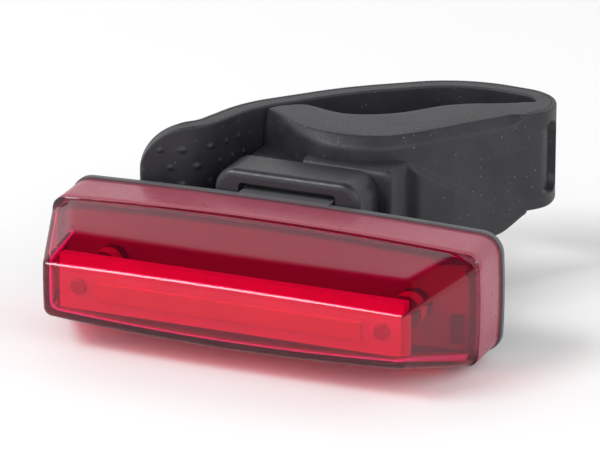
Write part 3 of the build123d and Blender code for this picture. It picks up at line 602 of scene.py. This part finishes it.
def build_boss():
    """The block on the pad's front that the bracket is screwed to; its right part is the higher one."""
    left_end, right_end = [BOSS_LEFT, -12.66, -12.5, -12.2, -11.7], [14.8, 15.1, 15.24, BOSS_RIGHT]
    x = np.concatenate([left_end, np.linspace(-11, 14.4, 90), right_end])
    from_end = np.minimum(x - BOSS_LEFT, BOSS_RIGHT - x)
    shrink = BOSS_END_ROUND * (1 - quarter_round(from_end, 1.0, 0))
    top = BOSS_TOP + BOSS_STEP * ease(x, -1.3, -0.5) - shrink - 0.02 * np.maximum(x, 0)
    back = 22.4 - 6.0 * ease(x, 3, 14)
    front, low = BOSS_FRONT + shrink, BOSS_LOW + shrink
    corners = section((front, low), (front, top), (back, top), (back, low))
    loops = rounded_loops(corners, [0.8, 1.5, 0.3, 0.3], [20, 12, 8, 12], 7)
    points = np.concatenate([np.broadcast_to(x[:, None, None], (*loops.shape[:2], 1)), loops], -1)
    closed_rings("strap_boss_skin", points, "mount")


def bend_points(degrees, radius):
    """Points of the bend, centre + radius (cos, sin)."""
    angles = np.radians(degrees)
    return BEND_CENTRE + radius * np.stack([np.cos(angles), np.sin(angles)], -1)


def band_relief(distance, share, z):
    """The oblong recess at the bend, and the tab's grip bumps: paraboloid caps in staggered rows."""
    beyond = np.maximum(np.abs(z - BAND_MIDDLE) - (SLOT_HALF_TALL - SLOT_HALF_WIDE), 0)
    from_recess = np.hypot(distance - RECESS_AT, beyond)
    edge = ease(from_recess, SLOT_HALF_WIDE - 0.35, SLOT_HALF_WIDE + 0.05)
    recess = -RECESS_DEPTH * (1 - edge) * (share > 0.9)
    row = np.round((z - BAND_MIDDLE + GRIP_ROW_SHIFT) / GRIP_ROW_PITCH)
    off_z = z - (BAND_MIDDLE - GRIP_ROW_SHIFT + row * GRIP_ROW_PITCH)
    from_first = distance[-1] - distance - GRIP_FROM_TIP - GRIP_STAGGER * np.mod(row, 2)
    number = np.round(from_first / GRIP_PITCH)
    off_s = from_first - number * GRIP_PITCH
    allowed = (number >= 0) & (number <= 4) & (np.abs(row) <= 2) & (share < 0.1)
    bump = GRIP_HEIGHT * np.clip(1 - (off_s ** 2 + off_z ** 2) / GRIP_RADIUS ** 2, 0, 1) * allowed
    return recess - bump


def build_band():
    """The strap from the wing round the bend to the finger tab, with a fine groove along its top edge."""
    degrees = np.linspace(4, 83, 18)
    degrees_inner = np.interp(degrees, [4, 45, 83], [22, 50, 83])
    bend = np.concatenate([
        bend_points(degrees, BEND_RADIUS + BAND_HALF), bend_points(degrees_inner, BEND_RADIUS - BAND_HALF)
    ], 1)
    far = rounded_route([BEND_CENTRE + (0.76, 6.46), *FAR_ROUTE], FAR_RADII)[4:]
    direction = np.gradient(far, axis=0)
    direction /= np.linalg.norm(direction, axis=1)[:, None]
    outward = np.stack([direction[:, 1], -direction[:, 0]], -1)
    far_pairs = np.concatenate([far + BAND_HALF * outward, far - BAND_HALF * outward], 1)
    pairs = np.concatenate([BAND_LEAD, bend, far_pairs])

    # Rows closer together at the tab, for its bumps, and closer still at its round tip
    total = run(pairs)[-1]
    tip = total - 1.4 * np.cos(np.linspace(0, math.pi / 2, 9))[:-1]
    spaced = np.concatenate([
        np.arange(0, total - 36, 0.55), np.arange(total - 36, total - 1.4, 0.3), tip, [total - 0.01]
    ])
    pairs = along(softened(along(pairs, np.linspace(0, total, 700)), 3), spaced)
    outer, inner = pairs[:, :2], pairs[:, 2:]
    left = (spaced[-1] - spaced) / math.sqrt(2)
    half = BAND_HALF_TALL * quarter_round(left, 9.0, 0.0005)
    thin = quarter_round(left, 1.0, 0.004)
    hidden = 0.15 * (1 - ease(run(outer), 0.9, 1.5))
    middle = (outer + inner) / 2
    outer = middle + (outer - middle) * thin[:, None]
    inner = middle + (inner - middle) * thin[:, None]
    width = np.linalg.norm(outer - inner, axis=1)
    top, bottom = BAND_MIDDLE + half - hidden, BAND_MIDDLE - half + hidden
    groove = 0.14 * np.clip(half / BAND_HALF_TALL, 0.05, 1) * thin
    corners = section(
        (hidden, bottom), (width - hidden, bottom), (width - hidden, top),
        (width - np.minimum(0.75, 0.24 * width), top),
        (width - np.minimum(0.9, 0.28 * width), top - groove),
        (width - np.minimum(1.05, 0.32 * width), top), (hidden, top),
    )
    loops = rounded_loops(corners, [0.6, 0.7, 0.45, 0.04, 0.04, 0.04, 0.35], [4, 40, 1, 0, 0, 5, 62], 5)
    obj = strip("strap_band_skin", outer, inner, loops, "strap", band_relief)
    cut_slot(obj)
    obj.parent = None
    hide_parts("strap_band")
    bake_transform(obj)


def cut_slot(obj):
    """The through slot that sits over the hook: an oblong cutter, taken out of the strap, then removed."""
    count = 48
    source_route = rounded_route([HINGE, *FAR_ROUTE], FAR_RADII)
    centre, ahead = along(source_route, np.array([HOOKED_SLOT, HOOKED_SLOT + 0.5]))
    direction = (ahead - centre) / np.linalg.norm(ahead - centre)
    normal = np.array([direction[1], -direction[0]])
    turn = np.linspace(0, 2 * math.pi, count, endpoint=False)
    s = SLOT_HALF_WIDE * np.cos(turn)
    z = BAND_MIDDLE + SLOT_HALF_WIDE * np.sin(turn)
    z += np.sign(np.sin(turn)) * (SLOT_HALF_TALL - SLOT_HALF_WIDE)
    plan = centre + s[:, None] * direction
    rings = [np.concatenate([plan + side * normal, z[:, None]], 1) for side in (-4.0, 4.0)]
    faces = [list(f) for f in grid_faces(2, count)]
    faces += [list(range(count - 1, -1, -1)), list(range(count, 2 * count))]
    mesh = bpy.data.meshes.new("slot_cutter")
    mesh.from_pydata(place(np.concatenate(rings)).tolist(), [], faces)
    cutter = bpy.data.objects.new("slot_cutter", mesh)
    bpy.context.scene.collection.objects.link(cutter)
    modifier = obj.modifiers.new("slot", "BOOLEAN")
    modifier.object = cutter
    modifier.operation = "DIFFERENCE"
    modifier.solver = "EXACT"
    bpy.context.view_layer.update()
    result = bpy.data.meshes.new_from_object(obj.evaluated_get(bpy.context.evaluated_depsgraph_get()))
    obj.modifiers.clear()
    obj.data = result
    bpy.data.objects.remove(cutter)
    bpy.data.meshes.remove(mesh)


# Button and inlet flap

BUTTON_PLACE, BUTTON_TOP, DISH_RADIUS, DISH_DEPTH = (20.5, -0.8), 2.2, 4.05, 0.34
# The button's back from stem to edge: radius and y
BUTTON_BACK = [
    (1.1, -2.65), (1.2, -2.55), (1.2, -1.9), (5.0, -1.9), (5.1, -1.8), (5.1, -1.3), (5.0, -1.2),
    (4.2, -1.2), (4.2, 1.3),
]
FLAP_X = 28.5

# Rings of the flap from the plug's inner end to the plate's face: half width, low z, high z, y
FLAP_RINGS = [
    (1.5, -4.0, 4.0, -0.3), (1.7, -4.2, 4.2, -0.25), (1.8, -4.3, 4.3, -0.1), (1.8, -4.3, 4.3, 1.1),
    (3.1, -6.45, 5.6, 1.1), (3.27, -6.5, 5.77, 1.18), (3.3, -6.5, 5.8, 1.35), (3.3, -6.45, 5.8, 1.55),
    (3.25, -6.3, 5.75, 1.75), (3.12, -6.05, 5.62, 1.93), (2.9, -5.7, 5.4, 2.03), (2.4, -5.0, 4.9, 2.08),
    (1.4, -3.2, 3.0, 2.1), (0.5, -1.2, 1.0, 2.1),
]

# The bead on the flap's hinge line: x and radius
BEAD_RINGS = [
    (25.2, 0.45), (25.22, 0.55), (25.3, 0.66), (25.4, 0.69), (28.5, 0.69), (31.6, 0.69), (31.7, 0.66),
    (31.78, 0.55), (31.8, 0.45),
]
BEAD_Y, BEAD_Z = 0.9, -6.5


def build_button():
    """Button turned about Y: stem, flange, and a face dished by (1 - r^2)^2, its rim rounded by r^12."""
    radius = np.linspace(DISH_RADIUS, 0, 24)[:-1]
    r = radius / DISH_RADIUS
    face = BUTTON_TOP - DISH_DEPTH * (1 - r ** 2) ** 2 - 0.5 * r ** 12
    rings = np.concatenate([BUTTON_BACK, np.stack([radius, face], -1)])
    turn = np.linspace(0, 2 * math.pi, 96, endpoint=False)
    x = BUTTON_PLACE[0] + rings[:, :1] * np.cos(turn)
    z = BUTTON_PLACE[1] + rings[:, :1] * np.sin(turn)
    points = np.stack([x, np.broadcast_to(rings[:, 1:], x.shape), z], -1)
    obj = closed_rings("button_cap_skin", points, "button")
    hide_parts("button_cap")


def build_flap():
    """Rubber cover of the charging inlet: plug, crowned plate with round corners, and the bead it turns on.

    Each ring is a rounded rectangle, half size times sign(cos t) |cos t|^0.36, at its own depth.
    """
    turn = np.linspace(0, 2 * math.pi, 96, endpoint=False)
    round_x = np.sign(np.cos(turn)) * np.abs(np.cos(turn)) ** 0.36
    round_z = np.sign(np.sin(turn)) * np.abs(np.sin(turn)) ** 0.36
    half_x, low, high, y = np.array(FLAP_RINGS).T[:, :, None]
    x = FLAP_X + half_x * round_x
    z = (low + high) / 2 + (high - low) / 2 * round_z
    obj = closed_rings("usb_flap_skin", np.stack([x, np.broadcast_to(y, x.shape), z], -1), "inlet_cover")
    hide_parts("usb_flap")
    turn = np.linspace(0, 2 * math.pi, 32, endpoint=False)
    x, radius = np.array(BEAD_RINGS).T[:, :, None]
    y = BEAD_Y + radius * np.cos(turn)
    z = BEAD_Z + radius * np.sin(turn)
    closed_rings("usb_flap_bead", np.stack([x + 0 * y, y, z], -1), "inlet_cover")


build_lens()
build_pad()
build_boss()
build_band()
build_button()
build_flap()


# Stage, light and camera

SKY_LOW, SKY_HIGH = 1.0, 0.02
FLOOR_HALF = 3.0
LAMP_TARGET, LAMP_WIDE, LAMP_TALL = (0, 0, 0.01), 0.5, 0.25


def look(obj, position, target):
    """Stands an object at a position and turns it towards a target."""
    direction = Vector(target) - Vector(position)
    obj.location = position
    obj.rotation_euler = direction.to_track_quat("-Z", "Y").to_euler()


def area_light(name, position, power):
    """A rectangular lamp at a position, turned to the light's middle."""
    data = bpy.data.lights.new(name, "AREA")
    data.shape = "RECTANGLE"
    data.size, data.size_y = LAMP_WIDE, LAMP_TALL
    data.energy = power
    obj = bpy.data.objects.new(name, data)
    bpy.context.scene.collection.objects.link(obj)
    look(obj, position, LAMP_TARGET)


def floor():
    """The white floor that the light stands on, FLOOR_HALF metres to each side."""
    mesh = bpy.data.meshes.new("floor")
    corners = [(-1, -1, 0), (1, -1, 0), (1, 1, 0), (-1, 1, 0)]
    mesh.from_pydata([tuple(FLOOR_HALF * v for v in corner) for corner in corners], [], [(0, 1, 2, 3)])
    obj = bpy.data.objects.new("floor", mesh)
    bpy.context.scene.collection.objects.link(obj)
    r = Recipe("floor_white")
    r.set(Base_Color=(0.97, 0.97, 0.97, 1), Roughness=0.9)
    mesh.materials.append(r.material)


def sky():
    """White up to about 50 degrees, as a studio's backdrop is, and dim from 64 degrees up."""
    world = bpy.data.worlds.new("studio")
    bpy.context.scene.world = world
    world.use_nodes = True
    tree = world.node_tree
    background = tree.nodes["Background"]
    coordinates = tree.nodes.new("ShaderNodeTexCoord")
    split = tree.nodes.new("ShaderNodeSeparateXYZ")
    tree.links.new(coordinates.outputs["Generated"], split.inputs[0])
    fade = tree.nodes.new("ShaderNodeMapRange")
    fade.interpolation_type = "SMOOTHSTEP"
    tree.links.new(split.outputs["Z"], fade.inputs["Value"])
    for key, value in (("From Min", 0.76), ("From Max", 0.9), ("To Min", SKY_LOW), ("To Max", SKY_HIGH)):
        fade.inputs[key].default_value = value
    tree.links.new(fade.outputs["Result"], background.inputs["Strength"])
    background.inputs["Color"].default_value = (1, 1, 1, 1)


floor()
sky()
area_light("key", (-0.5, -0.55, 0.75), 5.2)
area_light("fill", (0.7, -0.4, 0.45), 1.2)

# Camera: 23.6 degrees to the lamp's right and 19.8 degrees above it, far away with a long lens
AZIMUTH, ELEVATION, DISTANCE, FOCAL_PIXELS = 0.41139, 0.34557, 814.8, 5000.0
IMAGE_WIDE, IMAGE_TALL, SENSOR_WIDE = 600, 463, 36

# The pixel that the middle of the lamp's rear edge falls on
CENTRE = (283.7, 265.6)
right = np.array([math.cos(AZIMUTH), math.sin(AZIMUTH), 0])
back = np.array([-math.sin(AZIMUTH), math.cos(AZIMUTH), 0])
level, rise = math.cos(ELEVATION), math.sin(ELEVATION)
upward = rise * back + np.array([0, 0, level])
forward = level * back - np.array([0, 0, rise])
eye = -forward * DISTANCE
aim = forward + right * (IMAGE_WIDE / 2 - CENTRE[0]) / FOCAL_PIXELS
aim = aim + upward * (CENTRE[1] - IMAGE_TALL / 2) / FOCAL_PIXELS
camera_data = bpy.data.cameras.new("camera")
camera_data.sensor_width = SENSOR_WIDE
camera_data.lens = FOCAL_PIXELS * SENSOR_WIDE / IMAGE_WIDE
camera = bpy.data.objects.new("camera", camera_data)
bpy.context.scene.collection.objects.link(camera)
look(camera, tuple(place(eye)), tuple(place(eye + aim * DISTANCE)))
bpy.context.scene.camera = camera

bpy.context.scene.view_settings.view_transform = "Standard"
